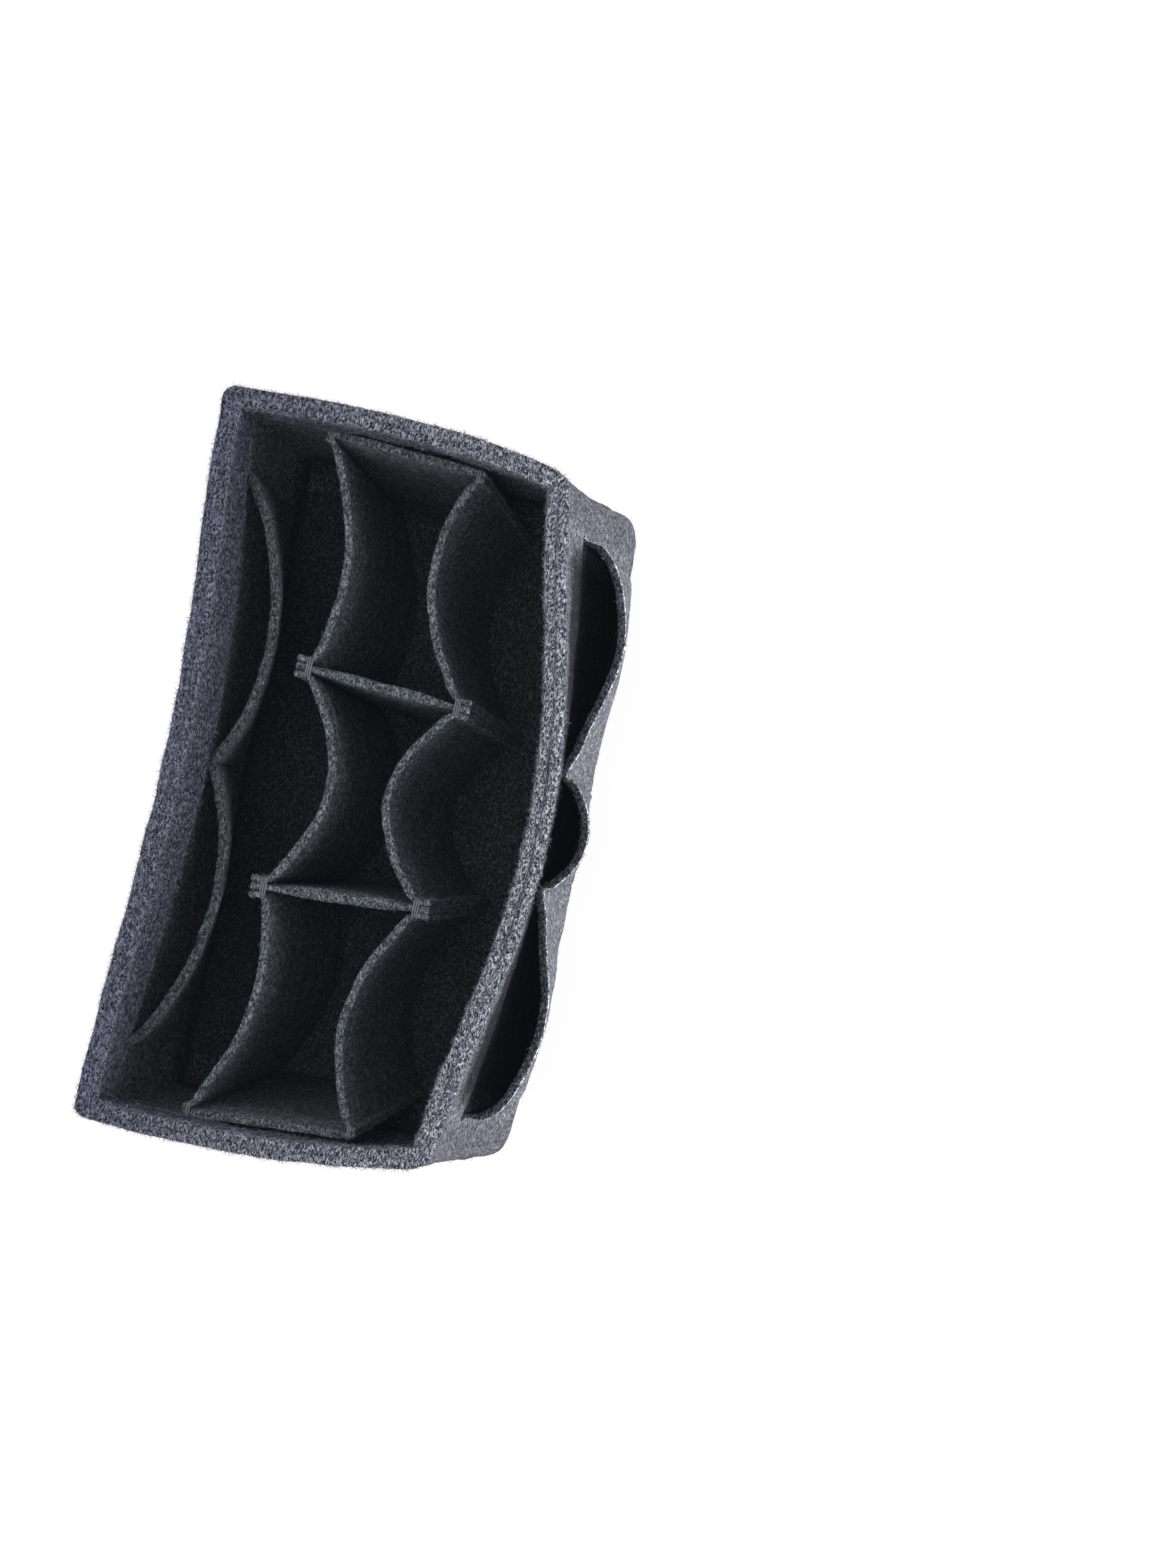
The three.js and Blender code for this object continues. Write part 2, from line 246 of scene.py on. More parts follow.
def along(points, axis):
    """Distance along each grid line from its start."""
    gaps = np.linalg.norm(np.diff(points, axis=axis), axis=-1)
    zero = np.zeros_like(np.take(gaps, [0], axis))
    return np.concatenate([zero, np.cumsum(gaps, axis)], axis)


def new_mesh(name, points, faces):
    """A smooth-shaded mesh object. faces is a list of arrays, each with one face a row."""
    mesh = bpy.data.meshes.new(name)
    mesh.vertices.add(len(points))
    mesh.vertices.foreach_set("co", np.ascontiguousarray(points, np.float32).ravel())
    corners = np.concatenate([f.ravel() for f in faces]).astype(np.int32)
    sizes = np.concatenate([np.full(len(f), f.shape[1]) for f in faces])
    starts = np.concatenate([[0], np.cumsum(sizes)[:-1]]).astype(np.int32)
    mesh.loops.add(len(corners))
    mesh.loops.foreach_set("vertex_index", corners)
    mesh.polygons.add(len(sizes))
    mesh.polygons.foreach_set("loop_start", starts)
    mesh.update(calc_edges=True)
    mesh.polygons.foreach_set("use_smooth", np.ones(len(sizes), bool))
    mesh.validate()
    piece = bpy.data.objects.new(name, mesh)
    bpy.context.scene.collection.objects.link(piece)
    return piece


def set_attribute(piece, name, values):
    attribute = piece.data.attributes.new(name, "FLOAT", "POINT")
    attribute.data.foreach_set("value", np.asarray(values, np.float32))


# Felt sheets
ROUND_OVER = 0.001  # distance over which a free cut edge rounds
SQUARE = 0.0002  # the same where the face lies against another layer
FRONT_SQUARE = 0.0006  # and where it does so at the front rim
FACING_ROUND = 0.002  # the same for the inner face of a rim facing
POCKET_ROUND = 0.002  # and for the outer face of the front pockets
LUMP = 0.00022  # how far the felt's middle wanders
LUMP_LENGTH = 0.017
SURFACE_LUMP = 0.00010
SURFACE_LENGTH = 0.0045
RAGGED = 0.00016  # how far a cut edge wanders
RAGGED_LENGTH = 0.0022
RAGGED_REACH = 0.0015
FRINGE_PLACE = 0.0007  # from the cut edge, where it is hairiest
FRINGE_WIDTH = 0.0006
CUT_TONE = (0.0004, 0.0012)  # depth to which a cut edge is paler, partly for its pale fibres and partly as painted light, and over which that fades
# The rim's top is painted paler further down its roll, as painted light
RIM_TONE = (0.0005, 0.004)
POCKET_TONE = (0.0003, 0.0003)


def felt(
    name, surface, u, v, thick, seed, rounding=(ROUND_OVER, ROUND_OVER), fringes=(1, 1, 1, 1), pale=None,
    tone=CUT_TONE, light=None, cool=None,
):
    """A closed sheet of felt with rounded cut edges.

    surface gives the felt's middle at each place of the u by v grid. The two faces lie half
    the thickness off it, along its normal, and close on it at the edges: there the half
    thickness follows a quarter superellipse of power 3, over the rounding of that face. Long
    waves bend the middle, short ones make the faces lumpy, and the edges wander a little.
    fringes says how hairy the cut edges are at the start and end of u and of v, and pale how pale, where
    that differs: below 0 is darker, as painted shade. That paleness is partly the pale fibres of a cut
    edge and partly painted light. The look holds over the first distance of tone and fades over the
    second. light gives painted light and shade in the same way for each place of the two faces, side 1
    and -1, and cool how much of the painted shade of the rim's back each point of a face has.
    """
    place_u, place_v = np.meshgrid(u, v, indexing="ij")
    middle = surface(place_u, place_v)
    normal = grid_normals(middle)
    middle = middle + normal * (LUMP * ripple(middle, LUMP_LENGTH, seed))[..., None]
    across, up = along(middle, 0), along(middle, 1)
    distances = np.stack([across, across[-1:] - across, up, up[:, -1:] - up])
    nearest = distances.argmin(0)
    edge = distances.min(0)
    row = unit(np.gradient(middle, axis=0))
    column = unit(np.gradient(middle, axis=1))
    outward = np.choose(nearest[..., None], [-row, row, -column, column])
    wander = RAGGED * ripple(middle, RAGGED_LENGTH, seed + 50) * (1 - smooth(edge / RAGGED_REACH))
    middle = middle + outward * wander[..., None]
    faces = []
    for side, radius in zip((1, -1), rounding):
        half = thick(place_u, place_v) / 2 * (1 - (1 - np.clip(edge / radius, 0, 1)) ** 3) ** (1 / 3)
        lumps = SURFACE_LUMP * ripple(middle, SURFACE_LENGTH, seed + 100 + side)
        off = side * (half + lumps * smooth(edge / ROUND_OVER))
        points = middle + normal * off[..., None]
        points[..., 2] = np.maximum(points[..., 2], GROUND_GAP)
        faces.append(points)
    rows, columns = edge.shape
    near = np.arange(rows * columns).reshape(rows, columns)
    far = near.copy()
    far[1:-1, 1:-1] = near.size + np.arange((rows - 2) * (columns - 2)).reshape(rows - 2, columns - 2)
    front = np.stack([near[:-1, :-1], near[1:, :-1], near[1:, 1:], near[:-1, 1:]], -1).reshape(-1, 4)
    back = np.stack([far[:-1, :-1], far[:-1, 1:], far[1:, 1:], far[1:, :-1]], -1).reshape(-1, 4)
    points = np.concatenate([faces[0].reshape(-1, 3), faces[1][1:-1, 1:-1].reshape(-1, 3)])
    piece = new_mesh(name, points, [front, back])
    fringe = np.choose(nearest, fringes) * bump(edge - FRINGE_PLACE, FRINGE_WIDTH)
    # Cut edges are paler, partly for their pale fibres and partly as painted light; below 0 they are painted
    # darker as painted shade
    fades = np.choose(nearest, pale or fringes) * (1 - smooth((edge - tone[0]) / tone[1]))
    # Painted light and shade of each face, and the painted shade of the rim's back
    lights = [light(place_u, place_v, side) if light else 0 * edge for side in (1, -1)]
    cools = [cool(points, side) if cool else 0 * edge for side, points in zip((1, -1), faces)]
    # The attribute edge holds the paleness of cut edges with the painted light and shade of the faces added
    for attribute, values in (("edge", [fades + one for one in lights]), ("cool", cools)):
        far_values = values[1][1:-1, 1:-1]
        set_attribute(piece, attribute, np.concatenate([values[0].ravel(), far_values.ravel()]))
    sides = []
    for side, points, one in zip((1, -1), faces, lights):
        # Fewer loose fibres where shade is painted
        sides.append((points, side * grid_normals(points), fringe, np.clip(1 + one, 0, 1)))
    return piece, sides


# Loose fibres
FIBRE_LENGTH = 0.0012
RIM_FIBRE_LENGTH = 0.0016
FIBRE_RADIUS = (0.00004, 0.00008)  # least and most
FIBRE_ROOT = 0.0002  # how deep a fibre starts in the felt
FIBRE_LIFT = (1.6, 2.4)  # of the beta distribution of how steeply they stand
FIBRE_CURL = 0.35
FIBRE_DROOP = 0.25
FIBRE_SPREAD = 0.45  # of the lognormal distribution of their lengths
FIBRE_LIMITS = (0.4, 1.8)  # of that distribution
FIBRE_RINGS = ((0.35, 1.0), (0.75, 0.7))  # where each ring is along a fibre, and its share of the radius
FIBRE_POINTS = 8  # a root, two rings of three and a tip


def fibres(name, sides, face_density, edge_density, seed, length):
    """Loose fibres standing out of felt: each is a curved spindle of three sides that starts
    inside the felt, with two rings between its root and its tip. The densities are per
    square millimetre, on the faces and at the cut edges."""
    rng = np.random.default_rng(seed)
    roots, normals = [], []
    for points, normal, fringe, loose in sides:
        a, b, c, d = points[:-1, :-1], points[1:, :-1], points[:-1, 1:], points[1:, 1:]
        area = np.linalg.norm(np.cross(d - a, c - b), axis=-1) / 2 * 1e6
        share = (fringe[:-1, :-1] + fringe[1:, 1:]) / 2
        weight = (area * (face_density + edge_density * share) * loose[:-1, :-1]).ravel()
        chosen = rng.choice(weight.size, int(weight.sum()), p=weight / weight.sum())
        i, j = np.unravel_index(chosen, area.shape)
        s, t = rng.uniform(size=(2, len(chosen), 1))
        roots.append(mix(mix(a[i, j], b[i, j], s), mix(c[i, j], d[i, j], s), t))
        normals.append(normal[i, j])
    root, normal = np.concatenate(roots), unit(np.concatenate(normals))
    count = len(root)
    flat = unit(np.cross(normal, rng.normal(size=(count, 3))))
    side = np.cross(normal, flat)
    lift = rng.beta(*FIBRE_LIFT, (count, 1))
    long = length * np.clip(rng.lognormal(0, FIBRE_SPREAD, (count, 1)), *FIBRE_LIMITS)
    heading = unit(normal * lift + flat * np.sqrt(1 - lift**2))
    curl = rng.normal(0, FIBRE_CURL, (count, 1)) * side - FIBRE_DROOP * normal * lift
    radius = rng.uniform(*FIBRE_RADIUS, (count, 1))
    start = root - normal * FIBRE_ROOT

    def reach(s):
        return start + long * (heading * s + curl * s**2)

    across = unit(np.cross(heading, normal + 0.01))
    over = np.cross(heading, across)
    rings = []
    for s, share in FIBRE_RINGS:
        for angle in (0, 2 * np.pi / 3, 4 * np.pi / 3):
            ring = math.cos(angle) * across + math.sin(angle) * over
            rings.append(reach(s) + share * radius * ring)
    points = np.stack([start, *rings, reach(1.0)], 1).reshape(-1, 3)
    points[:, 2] = np.maximum(points[:, 2], GROUND_GAP)
    first = (np.arange(count) * FIBRE_POINTS)[:, None, None]
    triangles = np.array([[0, 2, 1], [0, 3, 2], [0, 1, 3], [7, 4, 5], [7, 5, 6], [7, 6, 4]])
    quads = np.array([[1, 2, 5, 4], [2, 3, 6, 5], [3, 1, 4, 6]])
    piece = new_mesh(name, points, [(first + triangles).reshape(-1, 3), (first + quads).reshape(-1, 4)])
    set_attribute(piece, "shade", np.repeat(rng.uniform(size=count), FIBRE_POINTS))
    return piece


# Thread
THREAD_RADIUS = 0.00028
STITCH = 0.0034
STITCH_GAP = 0.0010
STITCH_ARCH = 1.4  # in thread radii, how high a stitch arches
STITCH_ROOT = 0.9  # and how deep its ends lie
THREAD_SIDES = 6


def threads(name, centre, up, material):
    """Closed many-sided tubes of thread. Each row of centre is one length of thread, from the
    point where it leaves the felt to where it goes back in; up points out of the felt."""
    count, inner = len(centre), centre.shape[1] - 2
    heading = unit(np.gradient(centre, axis=1))
    side = unit(np.cross(heading, up))
    over = np.cross(side, heading)
    k = np.arange(THREAD_SIDES)
    angles = (k * 2 * np.pi / THREAD_SIDES)[:, None]
    ring = np.cos(angles) * side[:, 1:-1, None] + np.sin(angles) * over[:, 1:-1, None]
    rings = (centre[:, 1:-1, None] + THREAD_RADIUS * ring).reshape(count, -1, 3)
    points = np.concatenate([centre[:, :1], rings, centre[:, -1:]], 1).reshape(-1, 3)
    each = THREAD_SIDES * inner + 2
    after = (k + 1) % THREAD_SIDES
    *others, last = 1 + THREAD_SIDES * np.arange(inner)
    first_fan = np.stack([0 * k, 1 + after, 1 + k], -1)
    last_fan = np.stack([0 * k + each - 1, last + k, last + after], -1)
    band = np.stack([k, after, THREAD_SIDES + after, THREAD_SIDES + k], -1)
    offset = (np.arange(count) * each)[:, None, None]
    triangles = (offset + np.concatenate([first_fan, last_fan])).reshape(-1, 3)
    quads = (offset + np.concatenate([first + band for first in others])).reshape(-1, 4)
    piece = new_mesh(name, points, [triangles, quads])
    piece.data.materials.append(material)
    return piece


def stitch_rows(name, rows):
    """Rows of stitches, each row a line of points with the felt's normals there: every stitch
    comes up out of the felt, arches over it as half a sine wave and goes down again."""
    shares = np.array([0, 0.07, 0.25, 0.5, 0.75, 0.93, 1])
    centres, ups = [], []
    for points, normals in rows:
        distance = along(points, 0)
        pitch = STITCH + STITCH_GAP
        whole = distance[-1] + STITCH_GAP
        count = int(whole / pitch)
        starts = np.arange(count) * pitch + (whole - count * pitch) / 2
        places = starts[:, None] + STITCH * shares
        centre = np.stack([np.interp(places, distance, points[:, k]) for k in range(3)], -1)
        up = unit(np.stack([np.interp(places, distance, normals[:, k]) for k in range(3)], -1))
        arch = THREAD_RADIUS * (STITCH_ARCH * np.sin(np.pi * shares) - STITCH_ROOT)
        centres.append(centre + up * arch[:, None])
        ups.append(up)
    return threads(name, np.concatenate(centres), np.concatenate(ups), THREAD)


def bar_tacks(name, places, half_width, strands):
    """Bar tacks over the top of the divider, along X: each is a few strands side by side that
    come up one side of the layers, run over them and go down the other side."""
    across = np.array([-1, -0.98, -0.72, 0, 0.72, 0.98, 1]) * half_width
    over = np.array([-0.0014, -0.0004, 0.0001, 0.0002, 0.0001, -0.0004, -0.0014])
    centres = []
    for x, y in places:
        for strand in range(strands):
            beside = y + (strand - (strands - 1) / 2) * TACK_PITCH
            centres.append(np.stack([x + across, beside + 0 * across, DIVIDER_TOP + over], -1))
    centre = np.stack(centres)
    up = unit(np.stack([across / half_width, 0 * across, 0.3 + 0 * across], -1))
    return threads(name, centre, np.broadcast_to(up, centre.shape), TACK_THREAD)


def line_on(surface, u, v, depth):
    """Points at a depth out from a felt's middle along a line of places, with the normals there."""
    step = 0.0002
    across = surface(u + step, v) - surface(u - step, v)
    upward = surface(u, v + step) - surface(u, v - step)
    normal = unit(np.cross(across, upward))
    return surface(u, v) + depth * normal, normal


# Shapes of the box


def centred(share, centre):
    """Moves the middle of a span of -1 to 1 to centre, and keeps its ends."""
    return (share - centre) / (1 - centre * np.sign(share - centre))


def bend_box(x, y, z):
    """Where the filled box bends points of the upright box to: the front and back lean in and
    draw in at their corners, the front bows out as a power of a cosine, and the back bows in
    as a power of a parabola and swells in further below the rim. The rim sags a little."""
    rise = np.clip(z / HEIGHT, 0, 1)
    share = np.clip(x / HALF_LENGTH, -1, 1)
    front = np.clip(0.5 - y / DEPTH, 0, 1)
    lean = SIDE_LEAN * rise * np.clip(y / RETURN_END, -1, 1)
    front_shape = np.maximum(np.cos(np.pi / 2 * share), 0) ** FRONT_SHAPE_POWER
    foot = mix(np.where(x < 0, *FRONT_FOOT_OUT), FRONT_FOOT_BOW, front_shape)
    front_move = mix(foot, FRONT_BOW * front_shape, rise**FRONT_BOW_POWER)
    back_shape = 1 - centred(share, BACK_BOW_CENTRE / HALF_LENGTH) ** 2
    back_bow = BACK_BOW * rise * back_shape**BACK_BOW_POWER
    power = math.log(0.5) / math.log(1 - BACK_SWELL_BELOW_RIM / HEIGHT)
    swell = np.sin(np.pi * rise**power)
    back_move = back_bow + BACK_SWELL * swell * back_shape
    halfway = RIGHT_DRAW_IN * np.sin(np.pi * rise) * (share > 0)
    front_draw = (FRONT_DRAW_IN * rise + halfway) * front**DRAW_IN_POWER
    draw_in = front_draw + BACK_DRAW_IN * rise * (1 - front) ** DRAW_IN_POWER
    y = y - lean - mix(back_move, front_move, front)
    z = z - rise**2 * mix(BACK_SAG, FRONT_SAG, front) * front_shape
    return np.stack([x - share * draw_in, y, z], -1)


def wall_profile(v, inset):
    """Reach from the middle and height of a wall at distance v up it: flat under the box,
    round the quarter turn, then straight up."""
    radius = TURN_RADIUS - inset
    angle = np.clip((v - TURN_FLAT) / TURN_RADIUS, 0, np.pi / 2)
    above = np.clip(v - WALL_FOOT, 0, None)
    reach = HALF_LENGTH - TURN_RADIUS - np.clip(TURN_FLAT - v, 0, None) + radius * np.sin(angle)
    height = TURN_RADIUS - radius * np.cos(angle) + above
    straight = smooth(above / TURN_BLEND)
    return mix(reach, HALF_LENGTH - inset, straight), height


def facing_profile(v, inset):
    """A rim facing hangs straight down from the rim."""
    return HALF_LENGTH - inset + 0 * v, HEIGHT - FACING_DEPTH + v


def layered(profile, v, inset, spread, hem):
    """The inset of a layer of the rim, which makes room for the other layer at the cut edge.
    Below the hem the outer layer stands in."""
    _, height = profile(v, inset)
    near_rim = smooth((height - HEIGHT + SPREAD_DEPTH) / SPREAD_DEPTH)
    below = 1 - smooth((height - HEIGHT + FACING_DEPTH + HEM_BLEND / 2) / HEM_BLEND)
    return inset + spread * near_rim + hem * below


def rim_fluff(profile, v):
    """Thickness of a layer of the box, which is fuller at the rim's cut edge."""
    _, height = profile(v, WALL_INSET)
    return FELT * (1 + RIM_FLUFF * smooth((height - HEIGHT + FLUFF_DEPTH) / FLUFF_DEPTH))


MAIN_HALF = HALF_LENGTH - CORNER_RADIUS
CORNER_ARC = CORNER_RADIUS * math.pi / 2
LONG_HALF = MAIN_HALF + CORNER_ARC + CORNER_RETURN


def long_wall(side, inset, profile, spread, hem):
    """A front or back layer: u runs from its end on the left, round both corners, to its end
    on the right, and v up the profile. The back wall is thicker in its corners at the rim."""
    fill = CORNER_FILL if side > 0 and profile is wall_profile else 0

    def corner_fill(u, v):
        turn = np.clip((np.abs(u) - MAIN_HALF) / CORNER_ARC, 0, 1)
        near_rim = smooth((v - WALL_CUT + SPREAD_DEPTH) / SPREAD_DEPTH)
        return fill * np.sin(np.pi * turn) * near_rim

    def thick(u, v):
        return rim_fluff(profile, v) + corner_fill(u, v)

    def surface(u, v):
        layer = layered(profile, v, inset, spread, hem) + corner_fill(u, v) / 2
        reach, height = profile(v, layer)
        corner = mix(*WALL_CORNERS[side], np.clip(height / HEIGHT, 0, 1))
        radius = np.maximum(corner - layer, TIGHTEST_BEND)
        face = HALF_DEPTH - layer
        angle = np.clip((np.abs(u) - MAIN_HALF) / CORNER_RADIUS, 0, np.pi / 2)
        straight = np.minimum(np.abs(u), MAIN_HALF) / MAIN_HALF
        x = np.sign(u) * (straight * (reach - radius) + radius * np.sin(angle))
        beyond = np.clip(np.abs(u) - MAIN_HALF - CORNER_ARC, 0, None) / CORNER_RETURN
        y = mix(face - radius + radius * np.cos(angle), RETURN_END, beyond)
        if profile is wall_profile:
            drop = (layer - EDGE_LIFT) * (1 - np.clip(v / TURN_FLAT, 0, 1))
            height = height - drop * np.cos(angle) ** 2
        return bend_box(x, side * y, height)

    return surface, thick


def end_wall(side, inset, profile, spread, hem):
    """An end layer: u runs across it and v up the profile."""

    def surface(u, v):
        reach, height = profile(v, layered(profile, v, inset, spread, hem))
        return bend_box(side * reach, u, height)

    def thick(u, v):
        return rim_fluff(profile, v)

    return surface, thick


FLOOR_OVERLAP = Vector((0.0006, 0.0004))  # how far the floor is pressed into the walls
FLOOR_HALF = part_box("bottom_panel")[1].xy + FLOOR_OVERLAP
FLOOR_CORNER = 0.003


def floor_panel(u, v):
    """The bottom: a flat rectangle whose rows shorten at the corners along a quarter circle
    and bow towards the front with the front wall's foot."""
    into = np.clip(np.abs(v) - (FLOOR_HALF.y - FLOOR_CORNER), 0, FLOOR_CORNER)
    cut = FLOOR_CORNER - np.sqrt(FLOOR_CORNER**2 - into**2)
    return bend_box(u * (FLOOR_HALF.x - cut) / FLOOR_HALF.x, v, 0 * u) + [0, 0, FELT / 2]


def bulge(t):
    """How far a pocket stands off its wall at a share t of its width."""
    return np.sin(np.pi * np.clip(t, 0, 1)) ** BULGE_POWER


def front_pocket(u, v):
    """The outer pockets: u runs across at the upper edge, v up the panel. Each pocket stands
    off the wall as a bulge between its seams, from nothing at the bottom to all at the top."""
    up = v / POCKET_TALL
    edge = mix(POCKET_FOOT_HALF, POCKET_HALF, up)
    seam = mix(SMALL_FOOT_HALF, SMALL_HALF, up)
    place = np.abs(u)
    share = (place - SMALL_HALF) / (POCKET_HALF - SMALL_HALF)
    small = place < SMALL_HALF
    x = np.sign(u) * np.where(small, place * seam / SMALL_HALF, mix(seam, edge, share))
    sewn = 1 - POCKET_MARGIN / (POCKET_HALF - SMALL_HALF)
    skewed = np.clip(share / sewn, 0, 1) ** BULGE_SKEW
    steepness = np.where(skewed > 0.5, OUTER_BULGE_POWER, INNER_BULGE_POWER)
    wide_off = WIDE_BULGE * np.sin(np.pi * skewed) ** steepness
    small_off = SMALL_BULGE * bulge(0.5 + u / (2 * SMALL_HALF))
    opening = (v - POCKET_MARGIN) / (POCKET_TALL - POCKET_MARGIN)
    open_up = np.clip(opening, 0, 1) ** POCKET_OPENING
    off = np.where(small, small_off, wide_off) * open_up
    margin = smooth((place - POCKET_HALF + POCKET_MARGIN) / MARGIN_FADE)
    sunk = mix(SEWN_SINK, SIDE_SINK, margin) * (1 - smooth(off / SINK_FADE))
    y = -(HALF_DEPTH + LAYER_GAP + FELT / 2 + off - sunk)
    tip = POCKET_TIP_RISE * up * np.abs(x / edge) ** POCKET_TIP_POWER
    height = mix(POCKET_FLOOR, POCKET_TOP, up) + tip
    return bend_box(x, y, height)


def inner_pocket(u, v):
    """The two pockets on the back wall, made as the outer ones are."""
    height = INNER_FLOOR + v
    open_up = np.clip(v / (INNER_TOP - INNER_FLOOR), 0, 1) ** INNER_OPENING
    off = INNER_BULGE * open_up * bulge(np.abs(u) / INNER_HALF)
    sunk = SEWN_SINK * (1 - smooth(off / SINK_FADE))
    face = HALF_DEPTH - FELT - LAYER_GAP - FELT / 2
    return bend_box(u, face - off + sunk, height)


# Shapes of the divider


def by_seam(past, reach, span, seam, tab):
    """A value near a seam: span before it, seam at it, and tab at the end of the tab past it."""
    return np.where(past > 0, mix(seam, tab, smooth(past / SEAM_TAB)), mix(seam, span, smooth(-past / reach)))


def lean(z, most):
    """How far a wall of the divider has leant in at height z."""
    return most * (DIVIDER_TOP - z) / DIVIDER_TALL


def divider_painted_shade(below_top):
    """Painted shade: how the divider darkens below its top."""
    return -DIVIDER_SHADE * smooth(below_top / DIVIDER_SHADE_DEPTH)


def strip(start, end, bow, outward):
    """A long side of a cell: u runs along its plan and v up from the floor of the box. The plan
    has a tab out to each end, and between them a bow towards the cell, a half sine wave, and
    its corners are rounded."""
    share = np.linspace(0, 1, PLAN_POINTS)[1:-1]
    x = mix(start["x"], end["x"], share)
    y = mix(start["y"], end["y"], share) - outward * bow * np.sin(np.pi * share)

    def tab(corner):
        past = np.linspace(corner["tab"], TAB_START, TAB_POINTS)
        spread = corner["opens"] * smooth(past / SEAM_TAB)
        slanted = np.sign(corner["x"]) * corner["slant"] * outward * past / SLANT_HALF
        return np.stack([corner["x"] + spread + slanted, corner["y"] + outward * past], -1)

    points = np.concatenate([tab(start), np.stack([x, y], -1), tab(end)[::-1]])
    for _ in range(PLAN_SMOOTHINGS):
        points[1:-1] = (points[:-2] + 2 * points[1:-1] + points[2:]) / 4
    distance = along(points, 0)

    def surface(u, v):
        z = DIVIDER_FLOOR + v
        x, y = (np.interp(u, distance, points[:, k]) for k in range(2))
        share = u / distance[-1]
        most = mix(np.sign(start["x"]) * start["lean"], np.sign(end["x"]) * end["lean"], share)
        sag = STRIP_SAG * np.sin(np.pi * share)
        return np.stack([x - lean(z, most), y, z - sag * v / DIVIDER_TALL], -1)

    def thick(u, v):
        past = np.maximum(start["tab"] - u, u + end["tab"] - distance[-1])
        return FELT * by_seam(past, PINCH_REACH, 1, PINCH, TAB_PINCH)

    return surface, thick, distance[-1]


def cross_wall(side):
    """A cross wall: u runs up one leg, over the fold and down the other, v across the divider."""
    leg = DIVIDER_TALL - (FELT * FOLD_THICK[0] + FOLD_PITCH[0]) / 2
    fold = np.pi * FOLD_PITCH[0] / 2

    def surface(u, v):
        half = by_seam(np.abs(v) - CROSS_HALF, FOLD_REACH, *FOLD_PITCH) / 2
        top = DIVIDER_TOP - thick(u, v) / 2 - half
        up = np.clip(np.minimum(u, 2 * leg + fold - u) / leg, 0, 1)
        angle = np.pi * np.clip((u - leg) / fold, 0, 1)
        z = mix(DIVIDER_FLOOR, top, up) + half * np.sin(angle)
        middle = side * (CROSS_X + CROSS_SLANT * v / SLANT_HALF - lean(z, CROSS_TAPER))
        return np.stack([middle - half * np.cos(angle), v - CROSS_SHIFT, z], -1)

    def thick(u, v):
        return FELT * by_seam(np.abs(v) - CROSS_HALF, FOLD_REACH, *FOLD_THICK)

    # Painted light along the fold's top, painted shade below it
    def light(u, v, side):
        from_fold = np.abs(u - leg - fold / 2)
        return FOLD_PAINTED_LIGHT * bump(from_fold, FOLD_LIGHT_WIDTH) + divider_painted_shade(from_fold)

    return surface, thick, light, 2 * leg + fold


def end_panel(side):
    """An end panel of the divider: u runs across it and v up it, leaning in towards the floor."""

    def surface(u, v):
        z = DIVIDER_FLOOR + v
        return np.stack([side * (END_X + END_SLANT * u / SLANT_HALF - lean(z, END_TAPER)), u, z], -1)

    def thick(u, v):
        return FELT * by_seam(np.abs(u) - END_HALF[side], PINCH_REACH, 1, PINCH, TAB_PINCH)

    return surface, thick


def strip_corners(side, outward):
    """Where strips end: inside and outside of a cross wall, and at an end panel."""
    cross_x = CROSS_X + outward * CROSS_SLANT * CROSS_HALF / SLANT_HALF
    cross = dict(y=outward * CROSS_HALF - CROSS_SHIFT, tab=SEAM_TAB, lean=CROSS_TAPER, slant=CROSS_SLANT)
    end_x = END_X + outward * END_SLANT * END_HALF[side] / SLANT_HALF - CORNER_PITCH
    corner = dict(tab=CORNER_TAB, lean=END_TAPER, slant=END_SLANT, opens=0)
    return {
        "inner": dict(cross, x=side * (cross_x - JUNCTION_HALF), opens=-side * TAB_OPEN),
        "outer": dict(cross, x=side * (cross_x + JUNCTION_HALF), opens=side * TAB_OPEN),
        "corner": dict(corner, x=side * end_x, y=outward * END_HALF[side]),
    }


# Materials


class Graph:
    """A short way to add and join the nodes of a material or world."""

    def __init__(self, owner):
        owner.use_nodes = True
        self.owner = owner
        self.tree = owner.node_tree
        self.tree.nodes.clear()

    def add(self, kind, values=None, **settings):
        node = self.tree.nodes.new(kind)
        for key, value in settings.items():
            setattr(node, key, value)
        for key, value in (values or {}).items():
            if isinstance(value, bpy.types.NodeSocket):
                self.tree.links.new(value, node.inputs[key])
            else:
                node.inputs[key].default_value = value
        return node

    def sum(self, operation, a, b, clamp=False):
        return self.add("ShaderNodeMath", {0: a, 1: b}, operation=operation, use_clamp=clamp).outputs[0]

    def line(self, start, slope, value, clamp=False):
        """start plus slope times value."""
        return self.sum("ADD", start, self.sum("MULTIPLY", value, slope), clamp=clamp)

    def vector(self, operation, a, b):
        values = {0: a, ("Scale" if operation == "SCALE" else 1): b}
        return self.add("ShaderNodeVectorMath", values, operation=operation).outputs[0]

    def attribute(self, name):
        return self.add("ShaderNodeAttribute", attribute_name=name).outputs["Fac"]

    def noise(self, place, scale, detail, **values):
        values.update(Vector=place, Scale=scale, Detail=detail)
        return self.add("ShaderNodeTexNoise", values).outputs

    def blend(self, share, a, b):
        return self.add("ShaderNodeMix", {0: share, 6: a, 7: b}, data_type="RGBA").outputs[2]

    def ramp(self, value, low, high):
        return self.add("ShaderNodeMapRange", {0: value, 1: low, 2: high}, clamp=True).outputs[0]

    def principled(self, values):
        """Finishes a material with this surface."""
        shader = self.add("ShaderNodeBsdfPrincipled", values)
        self.add("ShaderNodeOutputMaterial", {"Surface": shader.outputs[0]})
        return self.owner


